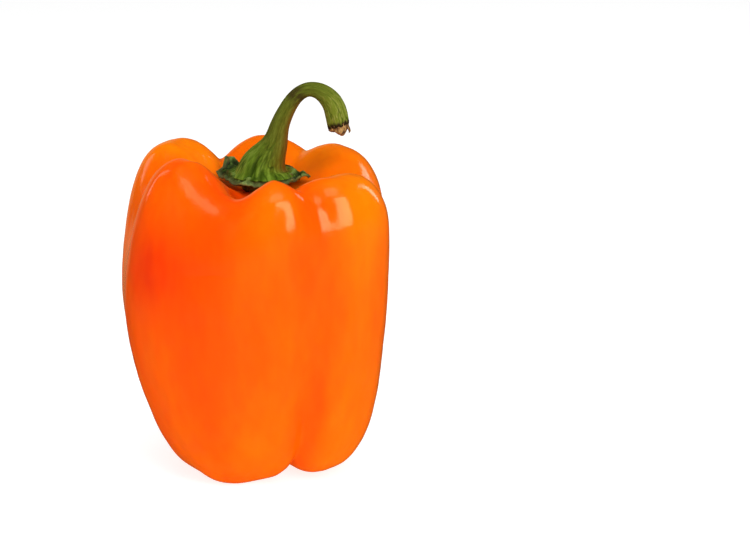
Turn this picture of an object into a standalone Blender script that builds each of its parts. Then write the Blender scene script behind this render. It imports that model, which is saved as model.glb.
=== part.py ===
"""Bell pepper standing on its lobes: the fruit, the green calyx in its hollow and the hooked stem.

The fruit starts as a hull with squared sides. Lobes raise its crown and reach outward, feet drop its
base, and furrows are pressed in between them. Lengths in the tables are millimetres and angles are
degrees, anticlockwise from +X as seen from above. The front of the pepper looks along -Y.
"""

import math
from dataclasses import dataclass

import bmesh
import bpy
import numpy as np
from mathutils import Vector
from mathutils.bvhtree import BVHTree

MM = 0.001


@dataclass(frozen=True)
class Ring:
    """One ring of the hull's cage, its centre's shift along X, and how much of each relief it takes."""

    radius: float
    height: float
    shift: float
    crown: float
    side: float
    foot: float


@dataclass(frozen=True)
class Lobe:
    """One lobe, with the rise of its crown and its reach outward at the crown, the side and the foot."""

    angle: float
    rise: float
    crown_reach: float
    side_reach: float
    foot_reach: float


@dataclass(frozen=True)
class Furrow:
    """A furrow between two lobes, with its angle and depth at the crown, the side and the foot.

    The swirl turns it by so many degrees for each millimetre outward over the crown. Its floor on the crown
    is a crease where soft is near 0, and a saddle where it is near 1. Its edges are rounder the higher the
    power is, and on the side it keeps a share of its width. It is pressed towards the heart, a line at that
    share of the radius.
    """

    crown_angle: float
    swirl: float
    side_angle: float
    foot_angle: float
    half_width: float
    crown_depth: float
    side_depth: float
    foot_depth: float
    soft: float
    power: float = 2.0
    side_width: float = 1.0
    heart: float = 0.45


@dataclass(frozen=True)
class Tooth:
    """A tooth of the calyx, or the notch beside it, with its reach and its lift above the rim."""

    angle: float
    reach: float
    lift: float


@dataclass(frozen=True)
class Station:
    """One station of the stem's cage: where its centre is, and its radius."""

    x: float
    y: float
    z: float
    radius: float


# Fruit, from the middle of its hollow crown over the shoulder and down to the middle of its base
MERIDIAN = (
    Ring(0.0, 90.0, 1.0, 0.0, 0.0, 0.0),
    Ring(8.5, 90.0, 1.0, 0.15, 0.0, 0.0),
    Ring(17.0, 93.0, 0.8, 0.6, 0.0, 0.0),
    Ring(24.5, 100.2, 0.6, 1.0, 0.0, 0.0),
    Ring(32.0, 103.0, 0.5, 1.0, 0.0, 0.0),
    Ring(39.5, 98.5, 1.1, 0.85, 0.1, 0.0),
    Ring(43.4, 87.0, 1.1, 0.5, 0.5, 0.0),
    Ring(43.8, 73.0, -0.5, 0.15, 0.9, 0.0),
    Ring(43.9, 57.0, -0.9, 0.0, 1.0, 0.0),
    Ring(42.3, 41.0, -0.7, 0.0, 0.9, 0.15),
    Ring(40.0, 25.5, 0.8, 0.0, 0.6, 0.45),
    Ring(36.1, 11.0, 2.2, 0.0, 0.2, 0.85),
    Ring(28.7, -1.0, 2.2, 0.0, 0.0, 1.0),
    Ring(16.5, -0.6, 1.0, 0.0, 0.0, 0.9),
    Ring(6.0, 5.0, 0.0, 0.0, 0.0, 0.4),
    Ring(0.0, 7.0, 0.0, 0.0, 0.0, 0.0),
)
SQUARENESS = 2.3        # exponent of the superellipse seen from above, where 2 is an ellipse
DEPTH_SHARE = 0.96      # front to back size as a share of the width
LOBES = (
    Lobe(230, 2.4, -2.8, -0.3, -0.5),
    Lobe(288, -1.8, 0.0, 0.0, -4.0),
    Lobe(315, -2.7, 0.9, 0.8, -0.4),
    Lobe(38, -0.4, -1.8, 0.9, 0.9),
    Lobe(87, 0.3, 0.0, 0.0, 0.0),
    Lobe(154, 1.9, -1.5, 0.4, 0.0),
)
# Angle and lift of the base, from foot to gap and so on round. The low feet are pressed flat at zero
FEET = ((200, 2.6), (264, -0.2), (292, 3.0), (322, 1.6), (0, 4.5), (42, -0.2), (92, 4.0), (142, -0.2))
BLEND = 14.0            # how sharply one lobe or foot gives way to the next
FURROWS = (
    Furrow(256, -0.2, 256, 256, 29, 8.6, 0.0, 0.0, 0.70, 1.8, 0.6, 0.95),
    Furrow(297, 0.3, 300, 295, 16, 4.8, 2.3, 3.4, 0.14, 1.7),
    Furrow(359, 0.0, 5, 2, 34, 6.0, 1.5, 3.5, 0.18),
    Furrow(62, 0.0, 65, 92, 24, 4.5, 1.2, 3.5, 0.18),
    Furrow(117, 0.0, 112, 92, 28, 8.5, 1.2, 0.5, 0.18),
    Furrow(191, 0.0, 189, 190, 30, 10.0, 2.2, 3.0, 0.18),
)
SWIRL_RADIUS = 28.0     # where a furrow's crown angle is measured
SOFT_SIDE = 0.7         # how round a furrow's floor is on the side
HEART_HEIGHTS = (28.0, 72.0)    # of the line that furrows are pressed towards
FRUIT_SEGMENTS = 72
FRUIT_RINGS = 52
MERIDIAN_SAMPLES = 600

# Calyx, a toothed green disc that follows the fruit's hollow
GAP = 0.35              # between pieces that touch
CALYX_CENTRE = (2.6, 0.5)
SEAT_HEIGHT = 96.0      # of the flat under the stem
SEAT_RADIUS = 9.6
CORE_RADIUS = 5.0       # within it the calyx fills the hollow down to the fruit
RIM_DROP = 0.9          # from the seat to the rim
RIM_THICKNESS = 1.2
RIM_FULLNESS = 4        # how soon the thickness is reached inward from the edge
TEETH = (
    Tooth(3, 15.0, 0.0),
    Tooth(28, 12.0, 0.4),
    Tooth(58, 14.6, 0.6),
    Tooth(84, 12.0, 0.4),
    Tooth(110, 14.4, 1.0),
    Tooth(128, 12.0, 2.0),
    Tooth(144, 15.2, 4.0),
    Tooth(154, 13.8, 2.0),
    Tooth(167, 15.6, 0.8),
    Tooth(186, 12.6, 0.2),
    Tooth(208, 12.0, 0.0),
    Tooth(244, 12.1, -0.6),
    Tooth(272, 11.0, -0.6),
    Tooth(304, 12.2, -0.3),
    Tooth(332, 12.2, 0.0),
    Tooth(350, 12.6, 0.0),
)
CALYX_SEGMENTS = 64
CALYX_RINGS = 14

# Stem, swept along a hooked line
STEM = (
    Station(3.0, 0.5, 96.4, 9.6),
    Station(3.0, 0.5, 98.2, 8.0),
    Station(4.3, 0.5, 101.0, 6.2),
    Station(6.8, 0.5, 105.2, 4.2),
    Station(8.0, 0.5, 110.6, 3.3),
    Station(9.9, 0.5, 115.0, 2.8),
    Station(12.6, 0.2, 119.8, 2.6),
    Station(16.7, -0.3, 123.0, 2.4),
    Station(21.4, -0.7, 122.1, 3.0),
    Station(25.0, -1.0, 118.6, 3.7),
    Station(26.1, -1.2, 114.8, 3.9),
    Station(26.7, -1.2, 111.4, 3.7),
)
TORN_END = ((0.2, 3.3), (1.8, 3.0), (2.9, 1.9))     # drop below the last station, and radius
STEM_RIBS = 5
RIB_DEPTH = 0.07        # as a share of the radius
STEM_SIDES = 20
STEM_STEPS = 30


def around(angle, stations):
    """Value at an angle, blended smoothly between (angle, value) stations round the axis."""
    angles, values = np.radians([s[0] for s in stations]), np.array([s[1] for s in stations])
    weight = np.exp(BLEND * (np.cos(angle[:, None] - angles) - 1.0))
    return (weight * values).sum(axis=1) / weight.sum(axis=1)


def spline(rows, place):
    """Points of the cubic B-spline that rows steer, at places counted from the second row."""
    rows = np.array(rows, float)
    index = np.clip(np.floor(place).astype(int), 0, len(rows) - 4)
    u = (place - index)[:, None]
    basis = ((1 - u) ** 3, 3 * u ** 3 - 6 * u ** 2 + 4, -3 * u ** 3 + 3 * u ** 2 + 3 * u + 1, u ** 3)
    return sum(b * rows[index + k] for k, b in enumerate(basis)) / 6


def smooth_step(x):
    """Rises smoothly from 0 to 1 as x does."""
    x = np.clip(x, 0.0, 1.0)
    return x * x * (3 - 2 * x)


def turn_between(start, end):
    """The shorter turn in degrees from one angle to another."""
    return (end - start + 180) % 360 - 180


def meridian_cage():
    """The hull's rings as rows, with one row past each pole so that the curve crosses the axis level."""
    rows = [(r.radius, r.height, r.shift, r.crown, r.side, r.foot) for r in MERIDIAN]
    over_crown = (-rows[1][0], *rows[1][1:])
    over_base = (-rows[-2][0], *rows[-2][1:])
    return [over_crown, *rows, over_base]


def even_places(cage, shares):
    """Places on the meridian at given shares of its length, from the crown's centre to the base's."""
    places = np.linspace(0, len(cage) - 3, MERIDIAN_SAMPLES)
    points = spline(cage, places)[:, :2]
    lengths = np.concatenate([[0], np.cumsum(np.linalg.norm(np.diff(points, axis=0), axis=1))])
    return np.interp(shares, lengths / lengths[-1], places)


def furrow_depth(furrow, angle, radius, crown, side, foot):
    """Depth of one furrow at each angle and radius, by the shares of crown, side and foot there."""
    total = np.maximum(crown + side + foot, 1e-6)
    turn = crown * furrow.swirl * (radius - SWIRL_RADIUS)
    turn = turn + side * turn_between(furrow.crown_angle, furrow.side_angle)
    turn = turn + foot * turn_between(furrow.crown_angle, furrow.foot_angle)
    away = turn_between(furrow.crown_angle + turn / total, np.degrees(angle))
    soft = furrow.soft + (SOFT_SIDE - furrow.soft) * side / total
    half_width = furrow.half_width * (1 + (furrow.side_width - 1) * side / total)
    x = np.minimum(np.abs(away) / half_width, 1.0)
    x = (np.hypot(x, soft) - soft) / (np.hypot(1, soft) - soft)
    depth = crown * furrow.crown_depth + side * furrow.side_depth + foot * furrow.foot_depth
    return depth * (1 - x) ** furrow.power


def fruit_surface(angle, share):
    """Points of the fruit's skin in millimetres, at each angle and share of the meridian's length."""
    cage = meridian_cage()
    radius, height, shift, crown, side, foot = spline(cage, even_places(cage, share)).T
    height = height + crown * around(angle, [(lobe.angle, lobe.rise) for lobe in LOBES])
    height = height + foot * around(angle, FEET)
    radius = radius + crown * around(angle, [(lobe.angle, lobe.crown_reach) for lobe in LOBES])
    radius = radius + side * around(angle, [(lobe.angle, lobe.side_reach) for lobe in LOBES])
    radius = radius + foot * around(angle, [(lobe.angle, lobe.foot_reach) for lobe in LOBES])
    level = np.clip(height, *HEART_HEIGHTS) - height
    sunk_in, sunk_down = np.zeros((2, len(angle)))
    for furrow in FURROWS:
        depth = furrow_depth(furrow, angle, radius, crown, side, foot)
        inward = (furrow.heart - 1) * radius
        press = depth / np.maximum(np.hypot(inward, level), depth + 1.0)
        sunk_in = sunk_in + press * inward
        sunk_down = sunk_down + press * level
    radius = radius + sunk_in
    height = height + sunk_down
    x, y = np.cos(angle), np.sin(angle)
    square = (np.abs(x) ** SQUARENESS + np.abs(y) ** SQUARENESS) ** (-1 / SQUARENESS)
    return np.stack([shift + radius * square * x, radius * square * y * DEPTH_SHARE, height], axis=1)


def make_material(name, colour, roughness):
    """A plain glossy or dull material."""
    material = bpy.data.materials.new(name)
    material.use_nodes = True
    shader = material.node_tree.nodes["Principled BSDF"]
    shader.inputs["Base Color"].default_value = (*colour, 1.0)
    shader.inputs["Roughness"].default_value = roughness
    shader.inputs["Metallic"].default_value = 0.0
    return material


def add_object(name, data, material, collection):
    """Links a mesh or a curve as a named object of the pepper."""
    data.materials.append(material)
    obj = bpy.data.objects.new(name, data)
    collection.objects.link(obj)
    return obj


def ball_mesh(name, segments, rings):
    """A unit ball as a mesh, with the angle and the share of pole to pole of each vertex."""
    bm = bmesh.new()
    bmesh.ops.create_uvsphere(bm, u_segments=segments, v_segments=rings, radius=1.0)
    mesh = bpy.data.meshes.new(name)
    bm.to_mesh(mesh)
    bm.free()
    co = np.empty(len(mesh.vertices) * 3)
    mesh.vertices.foreach_get("co", co)
    co = co.reshape(-1, 3)
    angle = np.arctan2(co[:, 1], co[:, 0])
    share = np.arccos(np.clip(co[:, 2], -1, 1)) / math.pi
    return mesh, angle, share


def place_vertices(mesh, points):
    """Moves a mesh's vertices to points given in millimetres, and shades it smooth."""
    mesh.vertices.foreach_set("co", (points * MM).ravel())
    mesh.update()
    mesh.shade_smooth()


def make_fruit(collection):
    """The lobed fruit, with its feet pressed flat where they touch the ground."""
    mesh, angle, share = ball_mesh("fruit", FRUIT_SEGMENTS, FRUIT_RINGS)
    points = fruit_surface(angle, share)
    points[:, 2] = np.maximum(points[:, 2], 0.0)
    place_vertices(mesh, points)
    return add_object("fruit", mesh, make_material("skin", (0.93, 0.13, 0.004), 0.22), collection)


def heights_on(obj, points):
    """Height in millimetres of an object's upper skin under each point, found by a ray from above."""
    tree = BVHTree.FromPolygons([v.co for v in obj.data.vertices], [p.vertices for p in obj.data.polygons])
    above = max(v.co.z for v in obj.data.vertices) + MM
    down = Vector((0.0, 0.0, -1.0))
    return np.array([tree.ray_cast(Vector((x * MM, y * MM, above)), down)[0].z / MM for x, y in points])


def make_calyx(fruit, collection):
    """The calyx: a thin toothed rim, and a thick middle that fills the fruit's hollow under the stem."""
    mesh, angle, share = ball_mesh("calyx", CALYX_SEGMENTS, CALYX_RINGS)
    angles = [tooth.angle for tooth in TEETH]
    reach = np.interp(np.degrees(angle), angles, [tooth.reach for tooth in TEETH], period=360)
    lift = np.interp(np.degrees(angle), angles, [tooth.lift for tooth in TEETH], period=360)
    radius = reach * np.sin(share * math.pi)
    x = CALYX_CENTRE[0] + radius * np.cos(angle)
    y = CALYX_CENTRE[1] + radius * np.sin(angle)
    floor = heights_on(fruit, np.stack([x, y], axis=1)) + GAP
    out = smooth_step((radius - SEAT_RADIUS) / (reach - SEAT_RADIUS))
    top = np.maximum(SEAT_HEIGHT + out * (lift - RIM_DROP), floor + out * RIM_THICKNESS)
    leaf = smooth_step((radius - CORE_RADIUS) / (SEAT_RADIUS - CORE_RADIUS))
    low = floor + leaf * np.maximum(top - RIM_THICKNESS - floor, 0.0)
    side = np.cos(share * math.pi)
    fullness = np.sign(side) * (1 - (1 - np.abs(side)) ** RIM_FULLNESS)
    z = (top + low) / 2 + fullness * (top - low) / 2
    place_vertices(mesh, np.stack([x, y, z], axis=1))
    return add_object("calyx", mesh, make_material("calyx green", (0.07, 0.13, 0.02), 0.5), collection)


def make_stem_section(collection):
    """The stem's section: a closed curve of one millimetre radius with soft ribs, hidden as a helper."""
    data = bpy.data.curves.new("stem section", "CURVE")
    data.dimensions = "2D"
    line = data.splines.new("POLY")
    line.points.add(STEM_SIDES - 1)
    line.use_cyclic_u = True
    for i, point in enumerate(line.points):
        angle = -2 * math.pi * i / STEM_SIDES
        radius = 1 - RIB_DEPTH * (1 - math.cos(STEM_RIBS * angle)) / 2
        point.co = (radius * math.cos(angle) * MM, radius * math.sin(angle) * MM, 0.0, 1.0)
    section = bpy.data.objects.new("stem section", data)
    collection.objects.link(section)
    section.hide_render = True
    section.display_type = "WIRE"
    return section


def make_stem(collection):
    """The hooked stem, thick at its foot and at its cut, with a torn end."""
    rows = [(s.x, s.y, s.z, s.radius) for s in STEM]
    before = [2 * a - b for a, b in zip(rows[0], rows[1])]
    after = [2 * a - b for a, b in zip(rows[-1], rows[-2])]
    points = spline([before, *rows, after], np.linspace(0, len(rows) - 1, STEM_STEPS))
    end = STEM[-1]
    torn = [(end.x, end.y, end.z - drop, radius) for drop, radius in TORN_END]
    points = np.vstack([points, torn])
    data = bpy.data.curves.new("stem", "CURVE")
    data.dimensions = "3D"
    data.bevel_mode = "OBJECT"
    data.bevel_object = make_stem_section(collection)
    data.use_fill_caps = True
    line = data.splines.new("POLY")
    line.points.add(len(points) - 1)
    line.use_smooth = True
    for point, (x, y, z, radius) in zip(line.points, points):
        point.co = (x * MM, y * MM, z * MM, 1.0)
        point.radius = radius
    return add_object("stem", data, make_material("stem green", (0.09, 0.14, 0.02), 0.45), collection)


def main():
    for obj in list(bpy.data.objects):
        bpy.data.objects.remove(obj)
    collection = bpy.data.collections.new("bell pepper")
    bpy.context.scene.collection.children.link(collection)
    fruit = make_fruit(collection)
    calyx = make_calyx(fruit, collection)
    stem = make_stem(collection)
    box = np.array([v.co for v in fruit.data.vertices])
    middle = (box.min(axis=0) + box.max(axis=0)) / 2
    for obj in (fruit, calyx, stem):
        obj.location = (-middle[0], -middle[1], 0.0)


main()
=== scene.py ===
"""Looks of a whole orange bell pepper: glossy lobed skin, crumpled green calyx, hooked stem, torn end.

Each piece starts as a ball whose vertices are moved on to its grown form, so its skin is closed and has
no seam. Tables are in millimetres and degrees, anticlockwise from +X as seen from above. The front looks
along -Y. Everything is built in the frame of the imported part, at its real size.
"""

import logging
import math
from dataclasses import dataclass, field
from enum import Enum

import bpy
import numpy as np
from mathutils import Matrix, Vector
from mathutils.bvhtree import BVHTree


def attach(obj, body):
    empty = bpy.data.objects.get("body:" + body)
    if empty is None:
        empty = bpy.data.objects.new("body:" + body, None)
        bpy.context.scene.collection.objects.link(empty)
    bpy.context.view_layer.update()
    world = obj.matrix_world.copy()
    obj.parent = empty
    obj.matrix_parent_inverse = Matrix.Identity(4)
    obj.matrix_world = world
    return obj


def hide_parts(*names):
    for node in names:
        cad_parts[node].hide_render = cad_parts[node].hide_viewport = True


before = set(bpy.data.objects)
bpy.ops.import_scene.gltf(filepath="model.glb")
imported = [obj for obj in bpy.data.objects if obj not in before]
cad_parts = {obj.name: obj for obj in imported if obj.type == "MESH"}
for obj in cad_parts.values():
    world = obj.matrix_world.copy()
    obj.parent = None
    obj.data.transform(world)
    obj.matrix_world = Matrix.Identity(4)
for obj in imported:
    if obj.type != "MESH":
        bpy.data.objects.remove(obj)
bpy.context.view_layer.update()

MM = 0.001
TINY = 1e-6
LAYER_STEP = 7.3                # between the places of two layers of noise
HASH_PRIMES = (73856093, 19349663, 83492791)
HASH_FACTORS = (2246822519, 3266489917)
HASH_BITS = 0x7FFFFFFF
TANGENT_STEP = 0.01             # along a spline, for its direction
PLACE_SAMPLES = 1200            # along a spline, for its even places
LENGTH_SAMPLES = 400            # along a spline, for its length
NOISE_SPAN = (0.3, 0.7)         # that a material's noise seldom leaves
LOG = logging.getLogger("bell pepper")
Colour = tuple[float, float, float]


class Slot(Enum):
    """The record's material slots."""

    SKIN = "skin"
    CALYX = "calyx_green"
    STEM = "stem_green"


# Small tools that the pieces share


def smooth_step(x: np.ndarray) -> np.ndarray:
    """Rises smoothly from 0 to 1 as x does."""
    x = np.clip(x, 0.0, 1.0)
    return x * x * (3 - 2 * x)


def bump_at(x: np.ndarray, middle: float, width: float) -> np.ndarray:
    """A round bump of height 1 at the middle, which has faded at about twice the width from it."""
    return np.exp(-(((x - middle) / width) ** 2))


def turn_between(start: np.ndarray | float, end: np.ndarray | float) -> np.ndarray | float:
    """The shorter turn in degrees from one angle to another."""
    return (end - start + 180) % 360 - 180


def around(angle: np.ndarray, stations: list[tuple[float, float]], blend: float) -> np.ndarray:
    """Value at an angle, blended smoothly between stations round the axis.

    Args:
        angle: Angles in radians.
        stations: Pairs of an angle in degrees and the value there.
        blend: How sharply one station gives way to the next.

    Returns:
        One value for each angle.
    """
    angles, values = np.radians([s[0] for s in stations]), np.array([s[1] for s in stations])
    weight = np.exp(blend * (np.cos(angle[:, None] - angles) - 1.0))
    return (weight * values).sum(axis=1) / weight.sum(axis=1)


def spline(rows: list, place: np.ndarray) -> np.ndarray:
    """Points of a cubic B-spline.

    Args:
        rows: The rows of numbers that steer it.
        place: Places along it, counted from the second row.

    Returns:
        One row of numbers for each place.
    """
    rows = np.array(rows, float)
    index = np.clip(np.floor(place).astype(int), 0, len(rows) - 4)
    u = (place - index)[:, None]
    basis = ((1 - u) ** 3, 3 * u ** 3 - 6 * u ** 2 + 4, -3 * u ** 3 + 3 * u ** 2 + 3 * u + 1, u ** 3)
    return sum(b * rows[index + k] for k, b in enumerate(basis)) / 6


def even_places(rows: list, shares: np.ndarray, columns: int) -> np.ndarray:
    """Places on a spline at given shares of its length.

    Args:
        rows: The rows that steer the spline.
        shares: Shares of its length from 0 to 1.
        columns: How many of the first columns are lengths.

    Returns:
        One place for each share.
    """
    places = np.linspace(0, len(rows) - 3, PLACE_SAMPLES)
    points = spline(rows, places)[:, :columns]
    lengths = np.concatenate([[0], np.cumsum(np.linalg.norm(np.diff(points, axis=0), axis=1))])
    return np.interp(shares, lengths / lengths[-1], places)


def waves(points: np.ndarray, size: float | tuple, octaves: int, seed: float) -> np.ndarray:
    """Smooth noise between about -1 and 1.

    Args:
        points: Points in millimetres.
        size: Size of a wave in millimetres, the same all ways or one size for each axis.
        octaves: How many layers, each half as large and half as strong.
        seed: Where in the noise the piece lies.

    Returns:
        One value for each point.
    """
    total = np.zeros(len(points))
    corners = np.array([(i, j, k) for i in (0, 1) for j in (0, 1) for k in (0, 1)])
    for layer in range(octaves):
        scaled = points / np.array(size) * 2 ** layer + seed + LAYER_STEP * layer
        cell = np.floor(scaled).astype(np.int64)
        part = smooth_step(scaled - cell)
        for corner in corners:
            share = np.where(corner == 1, part, 1 - part).prod(axis=1)
            total += share * lattice(cell + corner) / 2 ** layer
    return total


def lattice(cell: np.ndarray) -> np.ndarray:
    """A fixed number for each point of space with whole coordinates.

    Args:
        cell: The points.

    Returns:
        Numbers between -1 and 1.
    """
    mixed = (cell * np.array(HASH_PRIMES)).sum(axis=1) & HASH_BITS
    for factor in HASH_FACTORS:
        mixed = (mixed ^ (mixed >> 15)) * factor & HASH_BITS
    return (mixed >> 7) / float(1 << 23) - 1.0


@dataclass(frozen=True)
class Ripple:
    """One layer of smooth noise, with its height, its wave size, its octaves and its place in the noise."""

    height: float
    size: float | tuple[float, float, float]
    octaves: int
    seed: float

    def on(self, points: np.ndarray) -> np.ndarray:
        """The layer's height at points in millimetres."""
        return self.height * waves(points, self.size, self.octaves, self.seed)


def deselect_all() -> None:
    """Leaves nothing selected, so that an operator acts on its own piece alone."""
    if bpy.context.object and bpy.context.object.mode != "OBJECT":
        bpy.ops.object.mode_set(mode="OBJECT")
    bpy.ops.object.select_all(action="DESELECT")


def add_ball(name: str, segments: int, rings: int) -> tuple[bpy.types.Object, np.ndarray, np.ndarray]:
    """Adds a unit ball as the start of a piece.

    Args:
        name: The piece's name.
        segments: How many faces go round.
        rings: How many faces go from pole to pole.

    Returns:
        The object, and each vertex's angle in radians and its share of the way from the top pole.
    """
    deselect_all()
    bpy.ops.mesh.primitive_uv_sphere_add(segments=segments, ring_count=rings, radius=1.0)
    obj = bpy.context.object
    obj.name = obj.data.name = name
    co = points_of(obj)
    return obj, np.arctan2(co[:, 1], co[:, 0]), np.arccos(np.clip(co[:, 2], -1, 1)) / math.pi


def points_of(obj: bpy.types.Object) -> np.ndarray:
    """An object's vertices in its own units."""
    co = np.empty(len(obj.data.vertices) * 3)
    obj.data.vertices.foreach_get("co", co)
    return co.reshape(-1, 3)


def normals_of(obj: bpy.types.Object) -> np.ndarray:
    """The outward direction at each vertex of an object."""
    directions = np.empty(len(obj.data.vertices) * 3)
    obj.data.vertex_normals.foreach_get("vector", directions)
    return directions.reshape(-1, 3)


def move_points(obj: bpy.types.Object, points: np.ndarray) -> None:
    """Moves an object's vertices to points given in millimetres."""
    obj.data.vertices.foreach_set("co", (points * MM).ravel())
    obj.data.update()


def store(obj: bpy.types.Object, name: str, values: np.ndarray) -> None:
    """Keeps something on a piece's vertices for its material to read.

    Args:
        obj: The piece.
        name: What the material asks for.
        values: One number or one vector for each vertex.
    """
    kind, key = ("FLOAT", "value") if values.ndim == 1 else ("FLOAT_VECTOR", "vector")
    attribute = obj.data.attributes.new(name, kind, "POINT")
    attribute.data.foreach_set(key, values.astype(np.float32).ravel())


def finish_piece(obj: bpy.types.Object, node: str, material: bpy.types.Material) -> None:
    """Shades a piece smooth, dresses it and lets it stand for its node.

    Args:
        obj: The piece.
        node: The node of the part that it replaces.
        material: What it is dressed in.
    """
    deselect_all()
    obj.select_set(True)
    bpy.context.view_layer.objects.active = obj
    bpy.ops.object.shade_smooth()
    obj.data.materials.clear()
    obj.data.materials.append(material)
    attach(obj, "root")
    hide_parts(node)
    LOG.info("%s: %d faces", obj.name, len(obj.data.polygons))


def skin_tree(obj: bpy.types.Object) -> BVHTree:
    """A search tree of an object's faces, in metres."""
    return BVHTree.FromPolygons([v.co for v in obj.data.vertices], [p.vertices for p in obj.data.polygons])


def heights_on(tree: BVHTree, points: np.ndarray, above: float) -> np.ndarray:
    """Height of a skin under points in millimetres, found by a ray from above."""
    down = Vector((0.0, 0.0, -1.0))
    return np.array([tree.ray_cast(Vector((x * MM, y * MM, above * MM)), down)[0].z / MM for x, y in points])


# Fruit


@dataclass(frozen=True)
class Ring:
    """One ring of the hull's cage, its centre's shift along X, and how much of each relief it takes."""

    radius: float
    height: float
    shift: float
    crown: float
    side: float
    foot: float


@dataclass(frozen=True)
class Lobe:
    """One lobe, with the rise of its crown and its reach outward at the crown, the side and the foot."""

    angle: float
    rise: float
    crown_reach: float
    side_reach: float
    foot_reach: float


@dataclass(frozen=True)
class Furrow:
    """A furrow between two lobes, with its angle and depth at the crown, the side and the foot.

    The swirl turns it by so many degrees for each millimetre outward over the crown. Its floor on the crown
    is a crease where soft is near 0, and a saddle where it is near 1. Its edges are rounder the higher the
    power is, and on the side it keeps a share of its width. It is pressed towards the heart, a line at that
    share of the radius.
    """

    crown_angle: float
    swirl: float
    side_angle: float
    foot_angle: float
    half_width: float
    crown_depth: float
    side_depth: float
    foot_depth: float
    soft: float
    power: float = 2.0
    side_width: float = 1.0
    heart: float = 0.45


@dataclass(frozen=True)
class BlushAndShade:
    """A redder patch of the skin, partly its own tone and partly painted shade, round an angle and a height,
    with its half sizes and its strength.
    """

    angle: float
    half_width: float
    height: float
    half_height: float
    strength: float


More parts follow.
